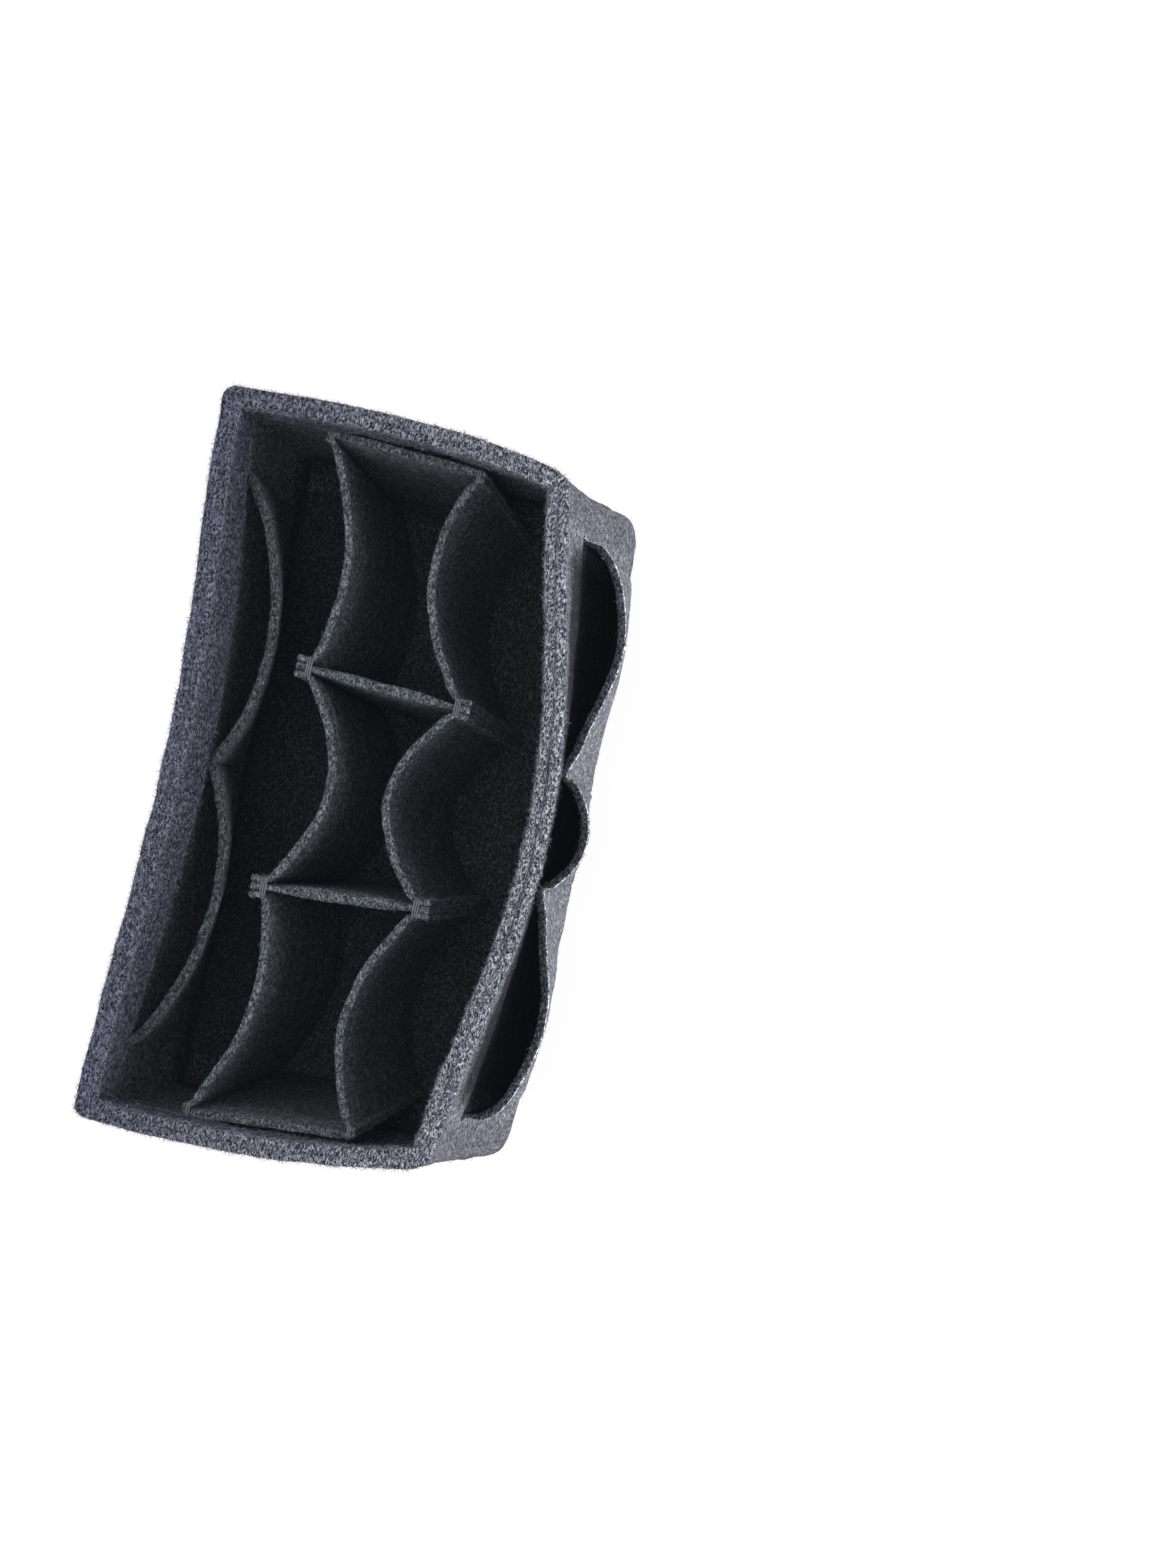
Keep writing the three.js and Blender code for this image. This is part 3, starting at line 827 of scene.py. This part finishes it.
# Grains of the noises in the felt, per metre, and the range of each that shows
DRIFT_SCALE = 600.0
DRIFT = 0.0007  # how far the fibres wander, in metres
STREAK_SCALE = 1650.0
STREAK_RANGE = (0.575, 0.665)
GRAIN_SCALE = 1000.0
GRAIN_RANGE = (0.38, 0.62)
CLUMP_SCALE = 620.0
CLUMP_RANGE = (0.36, 0.64)
# Painted glow: a constant emission that lifts the felt's darkest tones
FELT_PAINTED_GLOW = (0.0028, 0.0036, 0.0046)
DARKEN = 0.65  # painted shade: how much darker the felt is where its attribute edge is -1
CALM = 0.5  # and how much weaker its grains and streaks are there
BRIGHTEN = 1.2  # painted highlight: how much brighter it is where the attribute is 2
MOTTLE = 0.75  # how much the clumps change its tone


def felt_material(name, dark, middle, pale, contrast, amount, painted_rim_shade=(1, 1, 1)):
    """Needled felt: grains of dark and middle fibre, streaks of pale fibre lying every way,
    and a fibrous bump. The attribute called edge says where it is paler, partly for the pale fibres
    of cut edges and partly as painted light, and below 0 darker, as painted shade. contrast is how
    far the grains part from the middle tone, and amount how strong the streaks are, each as (on the
    faces, at pale places). The colour is multiplied by painted_rim_shade, a painted shade of the rim's back,
    as far as the attribute called cool says. A painted glow, a trace of light of its own, stands for
    the light that wanders through the fibres and lifts the darkest tones."""
    g = Graph(bpy.data.materials.new(name))
    place = g.add("ShaderNodeTexCoord").outputs["Object"]
    drift = g.noise(place, DRIFT_SCALE, 1.0)["Color"]
    shifted = g.vector("SUBTRACT", drift, (0.5, 0.5, 0.5))
    bent = g.vector("ADD", place, g.vector("SCALE", shifted, DRIFT))
    streaks = 0.0
    for turn in ((0.3, 0.2, 0.1), (1.2, 0.5, 0.9), (0.4, 1.3, 2.0), (2.0, 0.9, 1.4)):
        stretch = {"Vector": bent, "Rotation": turn, "Scale": (0.45, 1.0, 1.0)}
        laid = g.add("ShaderNodeMapping", stretch).outputs[0]
        streaks = g.sum("MAXIMUM", streaks, g.ramp(g.noise(laid, STREAK_SCALE, 1.0)[0], *STREAK_RANGE))
    grain = g.ramp(g.noise(bent, GRAIN_SCALE, 2.0, Roughness=0.7)[0], *GRAIN_RANGE)
    upright = g.add("ShaderNodeMapping", {"Vector": place, "Scale": (1.0, 1.0, 0.38)}).outputs[0]
    clumps = g.ramp(g.noise(upright, CLUMP_SCALE, 2.0)[0], *CLUMP_RANGE)
    # edge: paleness of cut edges, partly painted light, with painted light and shade added
    edge = g.attribute("edge")
    paler = g.ramp(edge, 0, 1)
    darker = g.sum("MINIMUM", edge, 0.0)
    level = g.line(1.0, DARKEN, darker, clamp=True)
    level = g.line(level, BRIGHTEN, g.ramp(edge, 1, 2))
    mottle = g.line(1.0, MOTTLE, g.sum("SUBTRACT", clumps, 0.5))
    level = g.sum("MULTIPLY", level, mottle)
    spread = g.line(contrast[0], contrast[1] - contrast[0], paler)
    spread = g.sum("MULTIPLY", spread, g.line(1.0, CALM, darker))
    grains = g.line(0.5, spread, g.sum("SUBTRACT", grain, 0.5))
    colour = g.blend(grains, (*dark, 1), (*middle, 1))
    strength = g.line(amount[0], amount[1] - amount[0], paler)
    strength = g.sum("MULTIPLY", strength, g.line(1.0, CALM, darker))
    colour = g.blend(g.sum("MULTIPLY", streaks, strength), colour, (*pale, 1))
    # Painted shade of the rim's back, a bluer darkening
    shade = g.blend(g.attribute("cool"), (1, 1, 1, 1), (*painted_rim_shade, 1))
    colour = g.vector("SCALE", g.vector("MULTIPLY", colour, shade), level)
    height = g.line(grain, 0.6, streaks)
    bumped = g.add("ShaderNodeBump", {"Height": height, "Strength": 0.9, "Distance": 0.0006}).outputs[0]
    return g.principled({
        "Base Color": colour,
        "Roughness": 0.95,
        "Specular IOR Level": 0.1,
        "Sheen Weight": 0.03,
        "Sheen Roughness": 0.5,
        "Sheen Tint": (0.82, 0.88, 1.0, 1),
        # painted glow
        "Emission Color": (*FELT_PAINTED_GLOW, 1),
        "Emission Strength": 1.0,
        "Normal": bumped,
    })


def fibre_material(name, dark, pale):
    """Single fibres, each one tone between dark and pale."""
    g = Graph(bpy.data.materials.new(name))
    colour = g.blend(g.sum("POWER", g.attribute("shade"), 1.6), (*dark, 1), (*pale, 1))
    return g.principled({"Base Color": colour, "Roughness": 0.8, "Specular IOR Level": 0.15})


def thread_material(name, colour):
    """Spun thread: a fine twist in the bump and a soft gloss."""
    g = Graph(bpy.data.materials.new(name))
    place = g.add("ShaderNodeTexCoord").outputs["Object"]
    twist = g.noise(place, 5000.0, 1.0)[0]
    dark, pale = ((*(share * c for c in colour), 1) for share in (0.6, 1.5))
    tone = g.blend(twist, dark, pale)
    bumped = g.add("ShaderNodeBump", {"Height": twist, "Strength": 0.5, "Distance": 0.0001}).outputs[0]
    return g.principled({"Base Color": tone, "Roughness": 0.6, "Normal": bumped})


# The outer felt's last colour is the painted shade of the rim's back, a bluer darkening
OUTER_FELT = felt_material(
    "outer_felt", (0.004, 0.004, 0.012), (0.096, 0.102, 0.140), (0.69, 0.71, 0.77), (1.1, 1.0), (0.75, 0.9),
    (0.35, 0.36, 0.47),
)
INNER_FELT = felt_material(
    "inner_felt", (0.010, 0.013, 0.017), (0.102, 0.123, 0.141), (0.48, 0.53, 0.58), (1.25, 0.9), (0.75, 0.43)
)
OUTER_FIBRE = fibre_material("outer_fibre", (0.05, 0.055, 0.08), (0.50, 0.53, 0.62))
INNER_FIBRE = fibre_material("inner_fibre", (0.04, 0.045, 0.055), (0.26, 0.29, 0.33))
THREAD = thread_material("thread", (0.08, 0.085, 0.105))
TACK_THREAD = thread_material("tack_thread", (0.15, 0.155, 0.17))


# Pieces
FIBRE_SHARE = 1.0
HAIR = (0.05, 1.6)  # fibres per square millimetre, on the faces and at the cut edges
POCKET_HAIR = (0.10, 1.6)
WALL_HAIR = (0.05, 8)
FACING_HAIR = (0.3, 8)

# Painted light and shade: how much paler places are painted, below 0 darker as painted shade, and at -1 there
# are no loose fibres
# painted shade of the floor, deep in the box
FLOOR_PAINTED_SHADE = -0.95
FOOT_PAINTED_SHADE = -0.8  # painted shade of the walls inside, at their feet
FOOT_REACH = 0.03
BEHIND_PAINTED_SHADOW = -1.15  # painted shadow of the front wall behind its pockets
BEHIND_START = 0.002  # below the rim
BEHIND_REACH = 0.029
BEHIND_ENDS = 0.014
BEHIND_FOOT = 0.003
CORNER_PAINTED_SHADE = -0.3  # painted shade of the front wall's corners
CORNER_REACH = 0.004
POCKET_PAINTED_SHADE = -1.3  # painted shade of the pockets' inner face
POCKET_LIGHT_START = 0.0004
POCKET_LIGHT_REACH = 0.0008
MOUTH_PAINTED_HIGHLIGHT = 5.0  # painted highlight of the line along the pockets' mouths
MOUTH_PLACE = 0.00075
MOUTH_WIDTH = 0.0003
BACK_SHADE_Y = (-0.078, 0.060)  # where the painted shade of the back begins, and where it is full
BACK_SHADE_INSIDE = (0.036, 0.016)  # depth below the rim to which it goes, and over which it fades
BACK_SHADE_OUTSIDE = (0.004, 0.003)


def add_felt(
    node, body, inner, surface, thick, u, v, seed, held="stretched", hair=HAIR, length=FIBRE_LENGTH,
    rests_on=(), extra=(), slot=None, **look,
):
    """Makes a felt piece with its loose fibres, in place of a CAD node."""
    slot = slot or ("inner_felt" if inner else "outer_felt")
    piece, sides = felt("felt_" + node, surface, u, v, thick, seed, **look)
    piece.data.materials.append(INNER_FELT if inner else OUTER_FELT)
    densities = (density * FIBRE_SHARE for density in hair)
    fuzz = fibres("fibres_" + node, sides, *densities, seed, length)
    fuzz.data.materials.append(INNER_FIBRE if inner else OUTER_FIBRE)
    for part in (piece, fuzz, *extra):
        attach(part, body)
    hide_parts(node)
    flat = (float(np.ptp(u)), float(np.ptp(v)))
    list(extra)
    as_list(rests_on)


def wall_painted_shade(inner_side, pocketed):
    """Painted shade on a wall: its inner face darkens towards the floor, and, where it has pockets,
    its outer face from the rim down to the mouths of the pockets, behind them and at its corners."""

    def light(u, v, side):
        if side == inner_side:
            return FOOT_PAINTED_SHADE * (1 - smooth((v - WALL_FOOT) / FOOT_REACH))
        if not pocketed:
            return 0 * u
        height = v - WALL_FOOT + TURN_RADIUS
        down_to_mouths = smooth((HEIGHT - BEHIND_START - height) / BEHIND_REACH)
        above_foot = smooth((height - POCKET_FLOOR - POCKET_MARGIN) / BEHIND_FOOT)
        between_ends = smooth((POCKET_HALF - np.abs(u)) / BEHIND_ENDS)
        at_corner = smooth((np.abs(u) - POCKET_HALF) / CORNER_REACH)
        return BEHIND_PAINTED_SHADOW * down_to_mouths * above_foot * between_ends + CORNER_PAINTED_SHADE * at_corner

    return light


def pocket_painted_light(u, v, side):
    """Painted light on the front pockets: painted shade inside them, and a painted highlight along the
    outer side of their cut edge."""
    below_edge = POCKET_TALL - v
    if side < 0:
        return POCKET_PAINTED_SHADE * smooth((below_edge - POCKET_LIGHT_START) / POCKET_LIGHT_REACH)
    return MOUTH_PAINTED_HIGHLIGHT * bump(below_edge - MOUTH_PLACE, MOUTH_WIDTH)


def rim_cool(inner_side):
    """How much of the painted shade of the rim's back a face has: nothing at the front and all at the
    back, over the depth of the facing inside and over the roll of the rim outside. With no
    inner side given, both faces are inside."""

    def cool(points, side):
        deep, fade = BACK_SHADE_INSIDE if inner_side in (None, side) else BACK_SHADE_OUTSIDE
        back = np.clip((points[..., 1] - BACK_SHADE_Y[0]) / (BACK_SHADE_Y[1] - BACK_SHADE_Y[0]), 0, 1)
        return back * np.clip((points[..., 2] - HEIGHT + deep) / fade, 0, 1)

    return cool


def by_side(inner_side, inside, outside):
    """What belongs to the inner and outer face of a wall, in the order of its sides 1 and -1."""
    return (inside, outside) if inner_side > 0 else (outside, inside)


def make_box():
    wall_v = stations(0, WALL_CUT)
    facing_v = stations(0, FACING_DEPTH)
    end_half = RETURN_END + SEAM_OVERLAP
    # The rim's cut edge is paler, partly for its pale fibres and partly as painted light on its top, and the
    # facings carry the painted shade of the rim's back
    rim = dict(tone=RIM_TONE, length=RIM_FIBRE_LENGTH)
    wall_look = dict(rim, fringes=(0, 0, 0, 1), hair=WALL_HAIR)
    facing_look = dict(rim, fringes=(0, 0, 0.3, 1), pale=(0, 0, 0, 1), cool=rim_cool(None), hair=FACING_HAIR)
    walls = (
        # wall, its place, shape, side, inner side, half its length, seed
        ("front_wall", "front", long_wall, -1, -1, LONG_HALF, 11),
        ("back_wall", "back", long_wall, 1, 1, LONG_HALF, 12),
        ("end_wall_left", "left", end_wall, -1, 1, end_half, 31),
        ("end_wall_right", "right", end_wall, 1, -1, end_half, 32),
    )
    for name, place, shape, side, inner_side, half, seed in walls:
        u = stations(-half, half)
        front = place == "front"
        against = FRONT_SQUARE if front else SQUARE
        spread = RIM_SPREAD[side] if shape is long_wall else 0
        wall = shape(side, WALL_INSET, wall_profile, -spread, HEM_STEP)
        # Painted shade on each wall, and the painted shade of the rim's back
        add_felt(
            name, "box", False, *wall, u, wall_v, seed, rounding=by_side(inner_side, against, ROUND_OVER),
            light=wall_painted_shade(inner_side, front), cool=rim_cool(inner_side), **wall_look,
        )
        facing = shape(side, FACING_INSET, facing_profile, spread, 0)
        add_felt(
            f"rim_facing_{place}", "box", False, *facing, u, facing_v, seed + 10, rests_on=[name],
            rounding=by_side(inner_side, FACING_ROUND, against), **facing_look,
        )
    floor_u, floor_v = (stations(-half, half) for half in FLOOR_HALF)
    # The floor is outer felt that looks like the inner one in the shade of the walls: it has the inner felt's
    # look and painted shade
    add_felt(
        "bottom_panel", "box", True, floor_panel, lambda u, v: FELT, floor_u, floor_v, 51, held="laid",
        slot="outer_felt", fringes=(0, 0, 0, 0), rounding=(ROUND_OVER / 2, ROUND_OVER / 2),
        light=lambda u, v, side: FLOOR_PAINTED_SHADE + 0 * u,
    )


def make_pockets():
    sewn = POCKET_HALF - POCKET_MARGIN
    seams = (-sewn, -SMALL_HALF, SMALL_HALF, sewn)
    u = stations(-POCKET_HALF, POCKET_HALF, seams)
    v = stations(0, POCKET_TALL, (POCKET_MARGIN,))

    def pressed(place_u, place_v):
        gap = np.abs(place_u[..., None] - np.array(seams)).min(-1)
        margin = smooth((np.abs(place_u) - sewn) / MARGIN_FADE)
        sewn_down = np.maximum(bump(gap, SEAM_WIDTH), bump(place_v - POCKET_MARGIN, SEAM_WIDTH))
        return FELT * (1 - np.maximum(SEAM_PRESS * sewn_down, MARGIN_PRESS * margin))

    up = np.linspace(STITCHES_FROM, POCKET_TALL - STITCHES_TO, SEAM_POINTS)
    rows = [line_on(front_pocket, seam + 0 * up, up, THREAD_DEPTH) for seam in seams]
    along_foot = np.linspace(-sewn, sewn, FOOT_POINTS)
    rows.append(line_on(front_pocket, along_foot, POCKET_MARGIN + 0 * along_foot, THREAD_DEPTH))
    thread = stitch_rows("thread_front_pocket", rows)
    # The pockets' upper cut edge is painted darker as painted shade; painted shade inside and a painted
    # highlight along their mouths
    add_felt(
        "front_pocket_panel", "box", False, front_pocket, pressed, u, v, 61, rests_on=["front_wall"],
        extra=[thread], hair=POCKET_HAIR, fringes=(0.6, 0.6, 0.3, 1), pale=(0, 0, 0, -0.9),
        tone=POCKET_TONE, light=pocket_painted_light, rounding=(POCKET_ROUND, ROUND_OVER),
    )
    tall = INNER_TOP - INNER_FLOOR
    u = stations(-INNER_HALF, INNER_HALF, (0.0,))
    v = stations(0, tall)

    def inner_pressed(place_u, place_v):
        return FELT * (1 - INNER_SEAM_PRESS * bump(place_u, INNER_SEAM_WIDTH))

    up = np.linspace(STITCHES_FROM, tall - STITCHES_TO, SEAM_POINTS)
    thread = stitch_rows("thread_inner_pocket", [line_on(inner_pocket, 0 * up, up, INNER_THREAD_DEPTH)])
    # The inner pockets' upper cut edge is painted darker as painted shade
    add_felt(
        "inner_pocket_panel", "box", True, inner_pocket, inner_pressed, u, v, 62,
        rests_on=["back_wall"], extra=[thread], fringes=(0.3, 0.3, 0, 1), pale=(0, 0, 0, -0.7),
        tone=POCKET_TONE,
    )


def make_divider():
    v = stations(0, DIVIDER_TALL)
    rest = dict(rests_on=["bottom_panel"])
    # The divider's top cut edges are paler, partly as painted light, and painted shade darkens it below its
    # top
    look = dict(rest, fringes=(0.4, 0.4, 0, 1), light=lambda u, v, side: divider_painted_shade(DIVIDER_TALL - v))
    for face, outward in (("back", 1), ("front", -1)):
        left, right = strip_corners(-1, outward), strip_corners(1, outward)
        spans = {
            "left": (left["corner"], left["outer"]),
            "centre": (left["inner"], right["inner"]),
            "right": (right["outer"], right["corner"]),
        }
        for number, (place, (start, end)) in enumerate(spans.items()):
            bow = STRIP_BOWS[face][place == "centre"]
            surface, thick, long = strip(start, end, bow, outward)
            add_felt(
                f"divider_{face}_{place}", "divider", True, surface, thick, stations(0, long), v,
                71 + number + 5 * outward, **look,
            )
    for name, side, seed in (("left", -1, 81), ("right", 1, 82)):
        half = END_HALF[side] + CORNER_TAB
        slant = side * END_SLANT
        seat = END_HALF[side] + TACK_PITCH
        middle = side * (END_X - CORNER_PITCH / 2)
        ends = [(middle + slant, seat), (middle - slant, -seat)]
        tacks = bar_tacks(f"tacks_end_{name}", ends, END_TACK_HALF, 2)
        add_felt(
            f"divider_end_{name}", "divider", True, *end_panel(side), stations(-half, half), v, seed,
            extra=[tacks], **look,
        )
        surface, thick, light, long = cross_wall(side)
        half = CROSS_HALF + SEAM_TAB
        seat = CROSS_HALF + TACK_PITCH * 1.5
        slant = side * CROSS_SLANT * seat / SLANT_HALF
        ends = [(side * CROSS_X + slant, seat - CROSS_SHIFT), (side * CROSS_X - slant, -seat - CROSS_SHIFT)]
        tacks = bar_tacks(f"tacks_cross_{name}", ends, CROSS_TACK_HALF, 3)
        # Painted light along the fold and painted shade below it
        add_felt(
            f"divider_cross_{name}", "divider", True, surface, thick, stations(0, long, (long / 2,)),
            stations(-half, half), seed + 4, held="folded", fringes=(0, 0, 0.4, 0.4), light=light,
            extra=[tacks], **rest,
        )


make_box()
make_pockets()
make_divider()


# Stage, light and camera
IMAGE = (1150, 1568)
CAMERA_AT = Vector((-0.0030, -0.2021, 1.1746))
CAMERA_FORWARD = Vector((0.0202, 0.1162, -0.9930))
CAMERA_UP = Vector((0.9793, 0.1977, 0.0431))
FOCAL_PIXELS = 2985.1
LAMPS = {  # where each is, where it points, its diameter and its watts
    "key": ((0.10, 0.25, 1.90), (0, 0, 0.08), 1.0, 14),
    "fill": ((-0.05, -0.35, 2.20), (0, 0, 0.08), 0.5, 4),
    "front": ((0, -1.60, 0.60), (0, 0, 0.17), 0.6, 6),
    "low": ((0, -1.30, 0.14), (0, 0, 0.08), 0.4, 9),
}


def make_stage():
    g = Graph(bpy.data.materials.new("ground"))
    camera_ray = g.add("ShaderNodeLightPath").outputs["Is Camera Ray"]
    paper = g.add("ShaderNodeBsdfDiffuse", {"Color": (0.93, 0.93, 0.93, 1)}).outputs[0]
    white = g.add("ShaderNodeEmission", {"Color": (1, 1, 1, 1), "Strength": 1.03}).outputs[0]
    share = g.sum("MULTIPLY", camera_ray, 0.9)
    both = g.add("ShaderNodeMixShader", {0: share, 1: paper, 2: white}).outputs[0]
    g.add("ShaderNodeOutputMaterial", {"Surface": both})
    half = 4.0
    corners = np.array([[-half, -half, 0], [half, -half, 0], [half, half, 0], [-half, half, 0]])
    ground = new_mesh("ground", corners, [np.array([[0, 1, 2, 3]])])
    ground.data.materials.append(g.owner)
    world = Graph(bpy.data.worlds.new("studio"))
    seen = world.add("ShaderNodeLightPath").outputs["Is Camera Ray"]
    strength = world.add("ShaderNodeMapRange", {0: seen, "To Min": 0.6, "To Max": 1.0}).outputs[0]
    background = world.add("ShaderNodeBackground", {"Color": (1, 1, 1, 1), "Strength": strength})
    world.add("ShaderNodeOutputWorld", {"Surface": background.outputs[0]})
    bpy.context.scene.world = world.owner
    bpy.context.scene.view_settings.view_transform = "Standard"


def add_lamp(name, at, toward, size, power):
    light = bpy.data.lights.new(name, "AREA")
    light.shape = "DISK"
    light.size = size
    light.energy = power
    lamp = bpy.data.objects.new(name, light)
    lamp.location = at
    lamp.rotation_mode = "QUATERNION"
    lamp.rotation_quaternion = (Vector(toward) - Vector(at)).to_track_quat("-Z", "Y")
    bpy.context.scene.collection.objects.link(lamp)


def make_camera():
    data = bpy.data.cameras.new("camera")
    data.sensor_width = 36.0
    data.lens = data.sensor_width * FOCAL_PIXELS / IMAGE[1]
    data.clip_start, data.clip_end = 0.05, 20
    camera = bpy.data.objects.new("camera", data)
    back = -CAMERA_FORWARD.normalized()
    right = CAMERA_UP.cross(back).normalized()
    turn = Matrix((right, back.cross(right), back)).transposed()
    camera.matrix_world = Matrix.Translation(CAMERA_AT) @ turn.to_4x4()
    bpy.context.scene.collection.objects.link(camera)
    bpy.context.scene.camera = camera


make_stage()
for name, lamp in LAMPS.items():
    add_lamp(name, *lamp)
make_camera()
